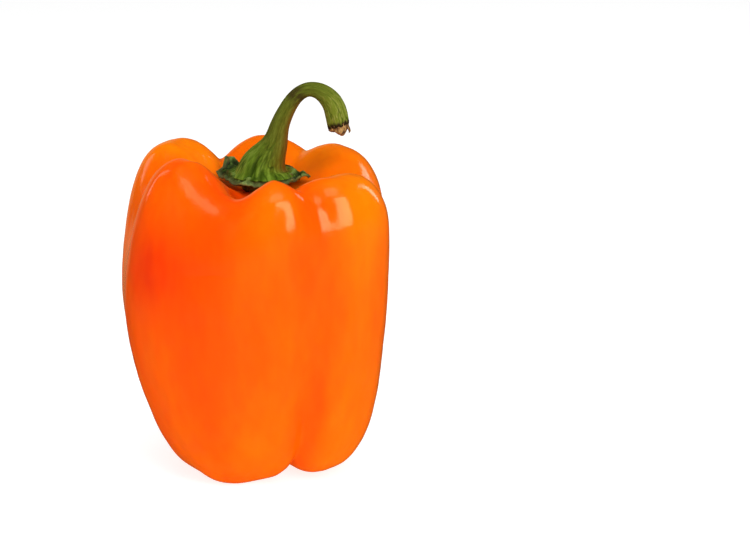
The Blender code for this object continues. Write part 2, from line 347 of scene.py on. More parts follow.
@dataclass
class Fruit:
    """The lobed fruit: a hull with squared sides, lobes, feet and furrows, and the low waves of its skin."""

    meridian: tuple[Ring, ...] = (
        Ring(0.0, 90.0, 1.0, 0.0, 0.0, 0.0), Ring(8.5, 90.0, 1.0, 0.15, 0.0, 0.0),
        Ring(17.0, 93.0, 0.8, 0.6, 0.0, 0.0), Ring(24.5, 100.2, 0.6, 1.0, 0.0, 0.0),
        Ring(32.0, 103.0, 0.5, 1.0, 0.0, 0.0), Ring(39.5, 98.5, 1.1, 0.85, 0.1, 0.0),
        Ring(43.4, 87.0, 1.1, 0.5, 0.5, 0.0), Ring(43.8, 73.0, -0.5, 0.15, 0.9, 0.0),
        Ring(43.9, 57.0, -0.9, 0.0, 1.0, 0.0), Ring(42.3, 41.0, -0.7, 0.0, 0.9, 0.15),
        Ring(40.0, 25.5, 0.8, 0.0, 0.6, 0.45), Ring(36.1, 11.0, 2.2, 0.0, 0.2, 0.85),
        Ring(28.7, -1.0, 2.2, 0.0, 0.0, 1.0), Ring(16.5, -0.6, 1.0, 0.0, 0.0, 0.9),
        Ring(6.0, 5.0, 0.0, 0.0, 0.0, 0.4), Ring(0.0, 7.0, 0.0, 0.0, 0.0, 0.0),
    )
    lobes: tuple[Lobe, ...] = (
        Lobe(230, 2.4, -2.8, -0.3, -0.5), Lobe(288, -1.8, 0.0, 0.0, -4.0), Lobe(315, -2.7, 0.9, 0.8, -0.4),
        Lobe(38, -0.4, -1.8, 0.9, 0.9), Lobe(87, 0.3, 0.0, 0.0, 0.0), Lobe(154, 1.9, -1.5, 0.4, 0.0),
    )
    feet: tuple[tuple[float, float], ...] = (
        (200, 2.6), (264, -0.2), (292, 3.0), (322, 1.6), (0, 4.5), (42, -0.2), (92, 4.0), (142, -0.2)
    )
    furrows: tuple[Furrow, ...] = (
        Furrow(256, -0.2, 256, 256, 29, 8.6, 0.0, 0.0, 0.70, 1.8, 0.6, 0.95),
        Furrow(297, 0.3, 300, 295, 16, 4.8, 2.3, 3.4, 0.14, 1.7),
        Furrow(359, 0.0, 5, 2, 34, 6.0, 1.5, 3.5, 0.18),
        Furrow(62, 0.0, 65, 92, 24, 4.5, 1.2, 3.5, 0.18),
        Furrow(117, 0.0, 112, 92, 28, 8.5, 1.2, 0.5, 0.18),
        Furrow(191, 0.0, 189, 190, 30, 10.0, 2.2, 3.0, 0.18),
        Furrow(295, 0.0, 295, 295, 7, 0.0, 0.2, 1.2, 0.14),
    )
    squareness: float = 2.3         # exponent of the superellipse seen from above, where 2 is an ellipse
    depth_share: float = 0.96       # front to back size as a share of the width
    blend: float = 14.0             # how sharply one lobe or foot gives way to the next
    swirl_radius: float = 28.0      # where a furrow's crown angle is measured
    soft_side: float = 0.7          # how round a furrow's floor is on the side
    heart_heights: tuple[float, float] = (28.0, 72.0)
    least_gap: float = 1.0          # that a furrow's floor stays from the heart
    ripples: tuple[Ripple, ...] = (
        Ripple(0.16, (11.0, 11.0, 40.0), 2, 3.0),   # slow waves along the sides
        Ripple(0.10, (4.2, 4.2, 8.0), 2, 11.0),     # small waves that ruffle the highlights
        Ripple(0.034, (1.9, 1.9, 2.6), 1, 23.0),
    )
    inset: float = 0.15             # that keeps the waves within the part's own skin
    calm_height: float = 3.0        # above the floor, over which the waves set in
    calm_radius: float = 14.0       # of the middle, which has no waves
    calm_edge: float = 6.0          # round the middle, over which they set in
    full_furrow_shade: float = 6.0        # depth at which a furrow has its full painted shade
    segments: int = 360
    rings: int = 250
    tint_blend: float = 30.0
    # The tint tables give the skin's tone with painted light and shade in it: higher, yellower values where
    # light falls, lower, redder ones where shade falls.
    crown_tint: tuple[tuple[float, float], ...] = (
        (232, 0.55), (258, 0.42), (283, 0.66), (302, 0.60), (322, 1.0), (38, 0.92), (87, 0.80), (152, 1.0),
        (191, 0.70),
    )
    side_tint: tuple[tuple[float, float], ...] = (
        (205, 0.46), (226, 0.40), (250, 0.43), (264, 0.46), (284, 0.53), (300, 0.47), (318, 0.65),
        (340, 0.62), (38, 0.70), (87, 0.60), (130, 0.62), (170, 0.60),
    )
    foot_tint: tuple[tuple[float, float], ...] = (
        (205, 0.60), (240, 0.66), (275, 0.74), (294, 0.62), (315, 0.76), (38, 0.74), (87, 0.60), (152, 0.70)
    )
    # Painted shade on the left belly and beside the lower furrow, with some of the skin's own redder tone in
    # it.
    blushes_and_shade: tuple[BlushAndShade, ...] = (
        BlushAndShade(229, 15.0, 73.0, 12.5, 0.48),
        BlushAndShade(247, 11.0, 60.0, 22.0, 0.10),
        BlushAndShade(302, 4.0, 30.0, 13.0, 0.16),
    )
    shift: np.ndarray = field(default_factory=lambda: np.zeros(3))

    def cage(self) -> list:
        """The hull's rings as rows, with one row past each pole so that it crosses the axis level."""
        rows = [(r.radius, r.height, r.shift, r.crown, r.side, r.foot) for r in self.meridian]
        over_crown = (-rows[1][0], *rows[1][1:])
        over_base = (-rows[-2][0], *rows[-2][1:])
        return [over_crown, *rows, over_base]

    def furrow_depth(self, furrow: Furrow, angle: np.ndarray, radius: np.ndarray, shares: list) -> np.ndarray:
        """Depth of one furrow.

        Args:
            furrow: The furrow.
            angle: Angles in radians.
            radius: The hull's radius at each.
            shares: Shares of crown, side and foot at each.

        Returns:
            Depths in millimetres.
        """
        crown, side, foot = shares
        total = np.maximum(crown + side + foot, TINY)
        turn = crown * furrow.swirl * (radius - self.swirl_radius)
        turn = turn + side * turn_between(furrow.crown_angle, furrow.side_angle)
        turn = turn + foot * turn_between(furrow.crown_angle, furrow.foot_angle)
        away = turn_between(furrow.crown_angle + turn / total, np.degrees(angle))
        soft = furrow.soft + (self.soft_side - furrow.soft) * side / total
        half_width = furrow.half_width * (1 + (furrow.side_width - 1) * side / total)
        x = np.minimum(np.abs(away) / half_width, 1.0)
        x = (np.hypot(x, soft) - soft) / (np.hypot(1, soft) - soft)
        depth = crown * furrow.crown_depth + side * furrow.side_depth + foot * furrow.foot_depth
        return depth * (1 - x) ** furrow.power

    def surface(self, angle: np.ndarray, share: np.ndarray) -> tuple[np.ndarray, ...]:
        """Points of the skin.

        Args:
            angle: Angles in radians.
            share: Shares of the meridian's length, from the crown's centre to the base's.

        Returns:
            Points in millimetres, the furrows' depth there, and the shares of crown and foot.
        """
        cage = self.cage()
        radius, height, shift, crown, side, foot = spline(cage, even_places(cage, share, 2)).T
        height = height + crown * around(angle, [(lobe.angle, lobe.rise) for lobe in self.lobes], self.blend)
        height = height + foot * around(angle, list(self.feet), self.blend)
        for amount, reach in ((crown, "crown_reach"), (side, "side_reach"), (foot, "foot_reach")):
            stations = [(lobe.angle, getattr(lobe, reach)) for lobe in self.lobes]
            radius = radius + amount * around(angle, stations, self.blend)
        level = np.clip(height, *self.heart_heights) - height
        depth, sunk_in, sunk_down = np.zeros((3, len(angle)))
        for furrow in self.furrows:
            own = self.furrow_depth(furrow, angle, radius, [crown, side, foot])
            inward = (furrow.heart - 1) * radius
            press = own / np.maximum(np.hypot(inward, level), own + self.least_gap)
            depth, sunk_in, sunk_down = depth + own, sunk_in + press * inward, sunk_down + press * level
        radius = radius + sunk_in
        height = height + sunk_down
        x, y = np.cos(angle), np.sin(angle)
        square = (np.abs(x) ** self.squareness + np.abs(y) ** self.squareness) ** (-1 / self.squareness)
        points = [shift + radius * square * x, radius * square * y * self.depth_share, height]
        return np.stack(points, axis=1), depth, crown, foot

    def build(self) -> bpy.types.Object:
        """The fruit, with the low waves of its skin and with what its colour follows kept on it."""
        obj, angle, share = add_ball("fruit_skin", self.segments, self.rings)
        points, depth, crown, foot = self.surface(angle, share)
        points[:, 2] = np.maximum(points[:, 2], 0.0)
        middle = (points.min(axis=0) + points.max(axis=0)) / 2
        self.shift = np.array([-middle[0], -middle[1], 0.0])
        points = points + self.shift
        move_points(obj, points)
        wave = sum(ripple.on(points) for ripple in self.ripples)
        grounded = smooth_step(points[:, 2] / self.calm_height)
        outer = smooth_step((np.hypot(points[:, 0], points[:, 1]) - self.calm_radius) / self.calm_edge)
        points = points + normals_of(obj) * ((wave - self.inset) * grounded * outer)[:, None]
        points[:, 2] = np.maximum(points[:, 2], 0.0)
        move_points(obj, points)
        # The skin's tone, with painted light and shade in it.
        store(obj, "ripeness_and_painted_light", self.ripeness_and_painted_light(angle, points[:, 2], crown, foot))
        # Painted shade: the skin is redder in the furrows, the more the deeper they are.
        store(obj, "furrow", np.clip(depth / self.full_furrow_shade, 0.0, 1.0))
        return obj

    def ripeness_and_painted_light(self, angle: np.ndarray, height: np.ndarray, *shares: np.ndarray) -> np.ndarray:
        """How far the skin has turned from red-orange towards yellow-orange, partly its own tone and partly
        painted light and shade: yellower where light falls, redder where shade falls.

        Args:
            angle: Angles in radians.
            height: Heights in millimetres.
            shares: Shares of crown and foot at each.

        Returns:
            Values from 0 to 1.
        """
        value = around(angle, list(self.side_tint), self.tint_blend)
        for amount, tint in zip(shares, (self.crown_tint, self.foot_tint)):
            value = value + amount * (around(angle, list(tint), self.tint_blend) - value)
        degrees = np.degrees(angle) % 360
        # Patches of painted shade, partly the skin's own redder tone.
        for blush_and_shade in self.blushes_and_shade:
            beside = bump_at(turn_between(blush_and_shade.angle, degrees), 0.0, blush_and_shade.half_width)
            value = value - blush_and_shade.strength * beside * bump_at(height, blush_and_shade.height, blush_and_shade.half_height)
        return np.clip(value, 0.0, 1.0)


# Calyx


@dataclass(frozen=True)
class Tooth:
    """A tooth of the calyx, or the notch beside it, with its reach and its lift above the rim."""

    angle: float
    reach: float
    lift: float


@dataclass
class Calyx:
    """The green collar: pointed sepals that lie on the hollow crown, crumpled, with ribs from the stem."""

    centre: tuple[float, float] = (2.6, 0.5)
    seat_height: float = 96.0
    seat_radius: float = 9.6
    core_radius: float = 5.0
    rim_drop: float = 0.9
    rim_thickness: float = 0.9
    rim_fullness: int = 6
    gap: float = 0.12
    teeth: tuple[Tooth, ...] = (
        Tooth(3, 15.2, -0.2), Tooth(14, 13.4, 0.4), Tooth(28, 12.0, 0.4), Tooth(44, 13.0, 0.7),
        Tooth(58, 15.0, 0.6), Tooth(70, 13.2, 0.7), Tooth(84, 12.0, 0.4), Tooth(98, 13.0, 0.8),
        Tooth(110, 14.8, 1.0), Tooth(119, 13.0, 1.4), Tooth(128, 12.2, 2.2), Tooth(138, 13.6, 3.6),
        Tooth(145, 15.3, 4.6), Tooth(151, 14.6, 3.4), Tooth(158, 14.4, 1.8), Tooth(168, 15.6, 0.9),
        Tooth(177, 14.4, 0.5), Tooth(190, 12.8, 0.3), Tooth(208, 12.0, 0.0), Tooth(226, 12.1, -0.5),
        Tooth(244, 12.1, -0.9), Tooth(258, 11.4, -1.0), Tooth(272, 10.9, -0.9), Tooth(290, 11.0, -0.6),
        Tooth(304, 12.2, -0.3), Tooth(318, 12.2, 0.0), Tooth(332, 12.2, 0.1), Tooth(346, 12.8, 0.2),
        Tooth(354, 13.8, 0.1),
    )
    ribs: tuple[float, ...] = (3, 58, 110, 148, 172)
    rib_height: float = 0.7
    rib_fade: float = 0.6           # share of that height which is gone at the edge
    rib_width: float = 70.0         # in degrees, at a radius of one millimetre
    rib_start: float = 4.0          # radius within which a rib's width in degrees stays the same
    crumple: float = 0.85
    leaf_start: float = 6.5         # radius from which the sepals are crumpled
    leaf_edge: float = 5.0          # over which that sets in
    crease_width: float = 0.20
    crease_depth: float = 0.4
    grain_height: float = 0.24
    edge_ring: float = 10.0         # radius at which the edge meets its noise
    fold_ring: float = 9.0          # radius at which the folds meet theirs
    edge_ripple: Ripple = Ripple(0.22, 2.0, 2, 21.0)
    fold_ripple: Ripple = Ripple(1.0, (4.6, 4.6, 1.9), 2, 5.0)
    grain_ripple: Ripple = Ripple(1.0, 0.8, 2, 31.0)
    least_thickness: float = 0.9    # of the rim, as a share of its thickness
    pale_start: float = 0.86        # share of the reach from which the rim is pale
    inner_radius: float = 9.0       # within which it is as green as the stem
    inner_edge: float = 3.0
    fold_look: tuple[float, ...] = (0.42, 0.75, 0.30, 0.3, -0.5)    # plain, and what each relief adds, as painted light on crests and ribs and painted shade in creases
    sky: float = 130.0              # height from which the fruit is looked down on
    segments: int = 384
    rings: int = 96

    def build(self, fruit: bpy.types.Object, shift: np.ndarray) -> bpy.types.Object:
        """The calyx, laid on the fruit.

        Args:
            fruit: The fruit that it lies on.
            shift: From the tables' axis to the frame's, in millimetres.

        Returns:
            The calyx.
        """
        obj, angle, share = add_ball("calyx_collar", self.segments, self.rings)
        degrees = np.degrees(angle) % 360
        angles = [tooth.angle for tooth in self.teeth]
        reach = np.interp(degrees, angles, [tooth.reach for tooth in self.teeth], period=360)
        lift = np.interp(degrees, angles, [tooth.lift for tooth in self.teeth], period=360)
        edge = np.stack([np.cos(angle), np.sin(angle), np.zeros_like(angle)], axis=1)
        reach = reach + self.edge_ripple.on(edge * self.edge_ring)
        radius = reach * np.sin(share * math.pi)
        x = self.centre[0] + shift[0] + radius * np.cos(angle)
        y = self.centre[1] + shift[1] + radius * np.sin(angle)
        floor = heights_on(skin_tree(fruit), np.stack([x, y], axis=1), self.sky) + self.gap
        out = smooth_step((radius - self.seat_radius) / (reach - self.seat_radius))
        flat = np.stack([x, y, np.zeros_like(x)], axis=1)
        leaf = smooth_step((radius - self.leaf_start) / self.leaf_edge)
        rib_width = self.rib_width / np.maximum(radius, self.rib_start)
        rib = sum(bump_at(turn_between(a, degrees), 0.0, rib_width) for a in self.ribs)
        folds = self.fold_ripple.on(edge * self.fold_ring + np.outer(radius, (0.0, 0.0, 1.0)))
        crease = 1 - smooth_step(np.abs(folds) / self.crease_width)
        relief = self.rib_height * rib * (1 - self.rib_fade * out) + self.crumple * folds
        grain = self.grain_ripple.on(flat)
        relief = (relief - self.crease_depth * crease + self.grain_height * grain) * leaf
        top = self.seat_height + out * (lift - self.rim_drop) + relief
        top = np.maximum(top, floor + out * self.rim_thickness * self.least_thickness)
        core = smooth_step((radius - self.core_radius) / (self.seat_radius - self.core_radius))
        low = floor + core * np.maximum(top - self.rim_thickness - floor, 0.0)
        side = np.cos(share * math.pi)
        fullness = np.sign(side) * (1 - (1 - np.abs(side)) ** self.rim_fullness)
        z = (top + low) / 2 + fullness * (top - low) / 2
        move_points(obj, np.stack([x, y, z], axis=1))
        store(obj, "rim", smooth_step((radius / reach - self.pale_start) / (1 - self.pale_start)))
        # Painted light and shade that follow the relief: lighter on crests and ribs, darker in creases.
        plain, on_fold, on_grain, on_rib, on_crease = self.fold_look
        relief_light_and_shade = plain + on_fold * folds + on_grain * grain + on_rib * rib * (1 - out) + on_crease * crease
        store(obj, "relief_light_and_shade", np.clip(relief_light_and_shade, 0.0, 1.0))
        store(obj, "inner", 1 - smooth_step((radius - self.inner_radius) / self.inner_edge))
        return obj


# Stem


@dataclass(frozen=True)
class Station:
    """One station of the stem's cage: where its centre is, and its radius."""

    x: float
    y: float
    z: float
    radius: float


@dataclass
class Stem:
    """The hooked stem, ribbed and wrinkled, flared at its foot, with its skin torn off at the end."""

    stations: tuple[Station, ...] = (
        Station(3.0, 0.5, 95.3, 10.9), Station(3.0, 0.5, 96.4, 9.7), Station(3.0, 0.5, 98.2, 7.9),
        Station(4.3, 0.5, 101.0, 6.1), Station(6.8, 0.5, 105.2, 4.1), Station(8.0, 0.5, 110.6, 3.2),
        Station(9.9, 0.5, 115.0, 2.8), Station(12.6, 0.2, 119.8, 2.6), Station(16.7, -0.3, 123.0, 2.3),
        Station(21.4, -0.7, 122.1, 2.9), Station(25.0, -1.0, 118.6, 3.6), Station(26.1, -1.2, 114.8, 3.8),
        Station(26.7, -1.2, 111.2, 3.6),
    )
    foot_ribs: tuple[float, ...] = (3, 58, 110, 150, 196, 232, 280, 310)
    foot_grooves: tuple[float, ...] = (246, 263, 322)
    foot_reach: tuple[tuple[float, float], ...] = (
        (0, -0.8), (60, 0.0), (130, 0.2), (185, -0.6), (225, 0.4), (265, 0.7), (310, 0.3), (340, 0.0)
    )
    noise_ring: float = 6.0         # radius at which the stem, drawn out straight, meets its noise
    flare_length: float = 15.0
    tip_start: float = 0.72         # share of the length at which the tip's creases set in
    tip_edge: float = 0.2
    rib_height: float = 0.25
    rib_sink: float = 0.10          # of the skin between ribs
    rib_width: float = 12.0         # in degrees, as the other widths
    groove_depth: float = 0.5
    groove_width: float = 2.4
    wander: Ripple = Ripple(6.0, (4.0, 4.0, 5.0), 2, 60.0)      # of the grooves, in degrees
    folds: Ripple = Ripple(1.0, (1.7, 1.7, 7.0), 2, 2.0)
    broad: Ripple = Ripple(1.0, (2.6, 2.6, 16.0), 2, 9.0)
    small: Ripple = Ripple(1.0, (0.6, 0.6, 3.2), 2, 14.0)
    ragged: Ripple = Ripple(0.30, (1.6, 1.6, 50.0), 2, 40.0)
    crease_width: float = 0.15
    crease_depths: tuple[float, float, float] = (0.05, 0.17, 0.08)  # all along, and more on flare and tip
    broad_height: float = 0.12
    small_heights: tuple[float, float] = (0.03, 0.04)   # all along, and more on the flare
    skirt_length: float = 5.5       # over which the reach of the foot fades
    skirt_blend: float = 9.0
    torn_slope: float = 0.12
    torn_power: float = 1.5         # how squarely the torn end closes
    torn_length: float = 5.0        # over which the slope and the ragged edge set in
    rim_length: float = 1.9         # of the dark torn rim
    rim_edge: float = 1.3
    rim_jitter: float = 0.4
    reflection_width: float = 52.0        # of the painted reflection of the orange fruit on the inner side
    reflection_start: float = 6.0         # over which it sets in above the foot
    reflection_end: float = 0.50          # share of the length at which it starts to fade
    reflection_edge: float = 0.15
    crest_look: tuple[float, ...] = (0.5, 0.3, 0.25, 0.15)  # plain, and what folds, grain and ribs add, as painted light on the crests
    faint_crease: float = 0.35      # how dark the painted shade in a crease is between flare and tip
    segments: int = 300
    rings: int = 320
    foot_share: float = 0.02        # of the rings, for the closed underside
    torn_share: float = 0.04        # of the rings, for the closed torn end
    inset: float = 0.2              # that keeps the relief within the part's own skin

    def build(self, shift: np.ndarray) -> bpy.types.Object:
        """The stem's green part.

        Args:
            shift: From the tables' axis to the frame's, in millimetres.

        Returns:
            The stem.
        """
        obj, angle, share = add_ball("stem_stalk", self.segments, self.rings)
        along = np.clip((1 - share - self.foot_share) / (1 - self.foot_share - self.torn_share), 0.0, 1.0)
        foot_cap = np.clip((1 - share) / self.foot_share, 0.0, 1.0)
        torn_cap = np.clip(share / self.torn_share, 0.0, 1.0)
        line, right, back, length = swept(self.stations, along)
        degrees = np.degrees(angle) % 360
        travelled = along * length
        ring = self.noise_ring
        straight = np.stack([np.cos(angle) * ring, np.sin(angle) * ring, travelled], axis=1)
        flare = 1 - smooth_step(travelled / self.flare_length)
        tip = smooth_step((along - self.tip_start) / self.tip_edge)
        ribs = sum(bump_at(turn_between(a, degrees), 0.0, self.rib_width) for a in self.foot_ribs)
        bent = degrees + self.wander.on(straight)
        grooves = sum(bump_at(turn_between(a, bent), 0.0, self.groove_width) for a in self.foot_grooves)
        crease = 1 - smooth_step(np.abs(self.folds.on(straight)) / self.crease_width)
        broad, small = self.broad.on(straight), self.small.on(straight)
        relief = flare * (self.rib_height * ribs - self.rib_sink) - self.groove_depth * flare * grooves
        plain, on_flare, on_tip = self.crease_depths
        relief = relief - (plain + on_flare * flare + on_tip * tip) * crease
        plain, on_flare = self.small_heights
        relief = relief + self.broad_height * broad + (plain + on_flare * flare) * small - self.inset
        skirt = 1 - smooth_step(travelled / self.skirt_length)
        relief = relief + skirt * around(angle, list(self.foot_reach), self.skirt_blend)
        radius = line[:, 3] + relief
        radius = radius * np.sqrt(np.clip(1 - (1 - foot_cap) ** 2, 0.0, 1.0))
        radius = radius * (1 - (1 - torn_cap) ** self.torn_power)
        outward = np.cos(angle)[:, None] * right + np.sin(angle)[:, None] * back
        points = line[:, :3] + radius[:, None] * outward
        end = smooth_step((travelled - length + self.torn_length) / self.torn_length)
        points[:, 2] += end * (self.torn_slope * (points[:, 0] - line[:, 0]) + self.ragged.on(straight))
        move_points(obj, points + shift)
        store(obj, "straight", straight * MM)
        store(obj, "along", along)
        store(obj, "flare", flare)
        # Painted reflection of the orange fruit on the stem's inner side, kept as hooked.
        fruit_reflection = bump_at(turn_between(0, degrees), 0.0, self.reflection_width)
        fruit_reflection = fruit_reflection * smooth_step(travelled / self.reflection_start)
        store(obj, "hooked", fruit_reflection * (1 - smooth_step((along - self.reflection_end) / self.reflection_edge)))
        # Painted light on the raised crests and ribs.
        plain, on_broad, on_small, on_rib = self.crest_look
        painted_crest_light = plain + on_broad * broad + on_small * small + on_rib * flare * (ribs - 0.5)
        store(obj, "painted_crest_light", np.clip(painted_crest_light, 0.0, 1.0))
        # Painted shade in the creases and in the grooves of the foot.
        dark = self.faint_crease + (1 - self.faint_crease) * np.maximum(flare, tip)
        store(obj, "crease", np.clip(crease * dark + grooves * flare, 0.0, 1.0))
        rim = smooth_step((travelled - length + self.rim_length + self.rim_jitter * small) / self.rim_edge)
        store(obj, "torn", np.clip(1 - torn_cap + rim, 0.0, 1.0))
        return obj


@dataclass
class Pulp:
    """The torn pulp that fills the stem's end and hangs out of it, longest right of its middle."""

    radius: float = 3.3
    top: float = 0.8                # above the stem's last station
    steepness: float = 0.14         # past the slope of the stem's end
    hang: float = 1.6
    longer: tuple[float, float, float] = (1.7, 1.1, 1.6)    # how much longer it hangs, where and how widely
    edge_lift: float = 0.35         # share of the hang that is gone at its edge
    edge_power: float = 4.8
    flatness: float = 0.25
    side: Ripple = Ripple(0.05, (0.7, 0.7, 1.2), 2, 50.0)
    side_ring: float = 3.0          # radius at which the side meets its noise
    fibres: Ripple = Ripple(0.45, 1.1, 2, 17.0)
    segments: int = 128
    rings: int = 96

    def build(self, stem: Stem, shift: np.ndarray) -> bpy.types.Object:
        """The pulp, in the stem's end.

        Args:
            stem: The stem.
            shift: From the tables' axis to the frame's, in millimetres.

        Returns:
            The pulp.
        """
        obj, angle, share = add_ball("stem_pulp", self.segments, self.rings)
        end = stem.stations[-1]
        rise, out = np.cos(share * math.pi), np.sin(share * math.pi)
        across = np.stack([np.cos(angle) * out, np.sin(angle) * out, rise], axis=1)
        radius = self.radius * out * (1 + self.side.on(across * self.side_ring))
        x = end.x + radius * np.cos(angle)
        y = end.y + radius * np.sin(angle)
        flat = np.stack([x, y, np.zeros_like(x)], axis=1)
        more, place, width = self.longer
        hang = self.hang + more * bump_at(x - end.x, place, width) + self.fibres.on(flat)
        low = np.clip(-rise / self.flatness, 0.0, 1.0) * (1 - self.edge_lift * out ** self.edge_power)
        slope = stem.torn_slope + self.steepness
        z = end.z + self.top + slope * (x - end.x) - low * (hang + self.top)
        move_points(obj, np.stack([x, y, z], axis=1) + shift)
        return obj


@dataclass
class Splinter:
    """The sliver of skin that was torn down at the right of the stem's end."""

    stations: tuple[Station, ...] = (
        Station(28.4, -2.0, 113.4, 0.6), Station(29.2, -2.4, 111.8, 1.1), Station(29.9, -2.5, 110.6, 1.0),
        Station(30.3, -2.4, 109.5, 0.8), Station(29.7, -2.4, 108.8, 0.4),
    )
    thinness: float = 0.45          # thickness as a share of the width
    taper: float = 0.5
    rough: Ripple = Ripple(0.10, 0.8, 2, 70.0)
    segments: int = 32
    rings: int = 40

    def build(self, shift: np.ndarray) -> bpy.types.Object:
        """The sliver.

        Args:
            shift: From the tables' axis to the frame's, in millimetres.

        Returns:
            The sliver.
        """
        obj, angle, share = add_ball("stem_splinter", self.segments, self.rings)
        line, right, back, _ = swept(self.stations, 1 - share)
        radius = line[:, 3] * np.sin(share * math.pi) ** self.taper
        outward = self.thinness * np.cos(angle)[:, None] * right + np.sin(angle)[:, None] * back
        points = line[:, :3] + radius[:, None] * outward
        points = points + self.rough.on(points)[:, None]
        move_points(obj, points + shift)
        return obj


def swept(stations: tuple[Station, ...], along: np.ndarray) -> tuple:
    """A smooth line through stations, for a piece that is swept along it.

    Args:
        stations: The stations that steer the line.
        along: Shares of the line's length.

    Returns:
        The line's points with their radius, the directions to its right and its back at each, and its length.
    """
    rows = [(s.x, s.y, s.z, s.radius) for s in stations]
    before = [2 * a - b for a, b in zip(rows[0], rows[1])]
    after = [2 * a - b for a, b in zip(rows[-1], rows[-2])]
    rows = [before, *rows, after]
    place = even_places(rows, along, 3)
    tangent = spline(rows, place + TANGENT_STEP)[:, :3] - spline(rows, place - TANGENT_STEP)[:, :3]
    tangent /= np.linalg.norm(tangent, axis=1)[:, None]
    right = np.cross([0.0, 1.0, 0.0], tangent)
    right /= np.linalg.norm(right, axis=1)[:, None]
    whole = spline(rows, np.linspace(0, len(rows) - 3, LENGTH_SAMPLES))[:, :3]
    length = float(np.linalg.norm(np.diff(whole, axis=0), axis=1).sum())
    return spline(rows, place), right, np.cross(tangent, right), length


# Finishes


class Graph:
    """The node tree of a material or a world, with short ways to add and join nodes."""

    def __init__(self, owner: bpy.types.Material | bpy.types.World, shader: str = "Principled BSDF") -> None:
        """Starts from the owner's plain tree, which holds the named shader."""
        owner.use_nodes = True
        self.owner = owner
        self.tree = owner.node_tree
        self.shader = self.tree.nodes[shader]

    def node(self, kind: str, inputs: dict | None = None, **settings: object) -> bpy.types.Node:
        """Adds a node.

        Args:
            kind: The node's type without its ShaderNode prefix.
            inputs: A value or an output for each input, by name or index.
            settings: The node's own settings.

        Returns:
            The node.
        """
        made = self.tree.nodes.new("ShaderNode" + kind)
        for key, value in settings.items():
            setattr(made, key, value)
        for key, value in (inputs or {}).items():
            self.put(made.inputs[key], value)
        return made

    def put(self, socket: bpy.types.NodeSocket, value: object) -> None:
        """Joins an output to a socket, or sets the socket's own value."""
        if isinstance(value, bpy.types.NodeSocket):
            self.tree.links.new(value, socket)
        else:
            socket.default_value = value

    def kept(self, name: str, output: str = "Fac") -> bpy.types.NodeSocket:
        """What was stored on the piece's vertices under that name."""
        return self.node("Attribute", attribute_name=name).outputs[output]

    def noise(self, vector: bpy.types.NodeSocket, size: float, detail: float) -> bpy.types.NodeSocket:
        """Noise with waves of a size in metres."""
        inputs = {"Vector": vector, "Scale": 1.0 / size, "Detail": detail}
        return self.node("TexNoise", inputs).outputs["Fac"]

    def stretched(self, vector: bpy.types.NodeSocket, scale: tuple) -> bpy.types.NodeSocket:
        """A vector scaled by axis, so that a pattern on it is drawn out."""
        return self.node("Mapping", {"Vector": vector, "Scale": scale}).outputs[0]

    def ramp(self, value: bpy.types.NodeSocket, stops: list[tuple[float, Colour]]) -> bpy.types.NodeSocket:
        """Colours along a ramp.

        Args:
            value: The place on the ramp.
            stops: The colours, each with its place.

        Returns:
            The colour there.
        """
        made = self.node("ValToRGB", {"Fac": value})
        elements = made.color_ramp.elements
        while len(elements) < len(stops):
            elements.new(0.5)
        for element, (place, colour) in zip(elements, stops):
            element.position = place
            element.color = (*colour, 1.0)
        return made.outputs["Color"]

    def maths(self, operation: str, first: object, second: object) -> bpy.types.NodeSocket:
        """A sum, product or other reckoning of two values."""
        return self.node("Math", {0: first, 1: second}, operation=operation).outputs[0]

    def span(self, value: bpy.types.NodeSocket, start: tuple, end: tuple) -> bpy.types.NodeSocket:
        """A value mapped from one range to another and kept within it."""
        names = ("Value", "From Min", "From Max", "To Min", "To Max")
        return self.node("MapRange", dict(zip(names, (value, *start, *end)))).outputs[0]

    def mix(self, share: object, first: object, second: object) -> bpy.types.NodeSocket:
        """Two colours mixed by a share from 0 to 1."""
        return self.node("Mix", {0: share, 6: first, 7: second}, data_type="RGBA").outputs[2]

    def bump(self, height: bpy.types.NodeSocket, depth: float, normal: object = None) -> bpy.types.NodeSocket:
        """A relief.

        Args:
            height: Its pattern.
            depth: Its depth in metres.
            normal: A relief that it is laid over, if there is one.

        Returns:
            The relief as a normal.
        """
        inputs = {"Height": height, "Distance": depth, "Strength": 1.0}
        if normal is not None:
            inputs["Normal"] = normal
        return self.node("Bump", inputs).outputs[0]

    def set(self, name: str, value: object) -> None:
        """Sets or joins one of the shader's own sockets."""
        self.put(self.shader.inputs[name], value)

    def object_place(self) -> bpy.types.NodeSocket:
        """The place on the piece, in metres."""
        return self.node("TexCoord").outputs["Object"]


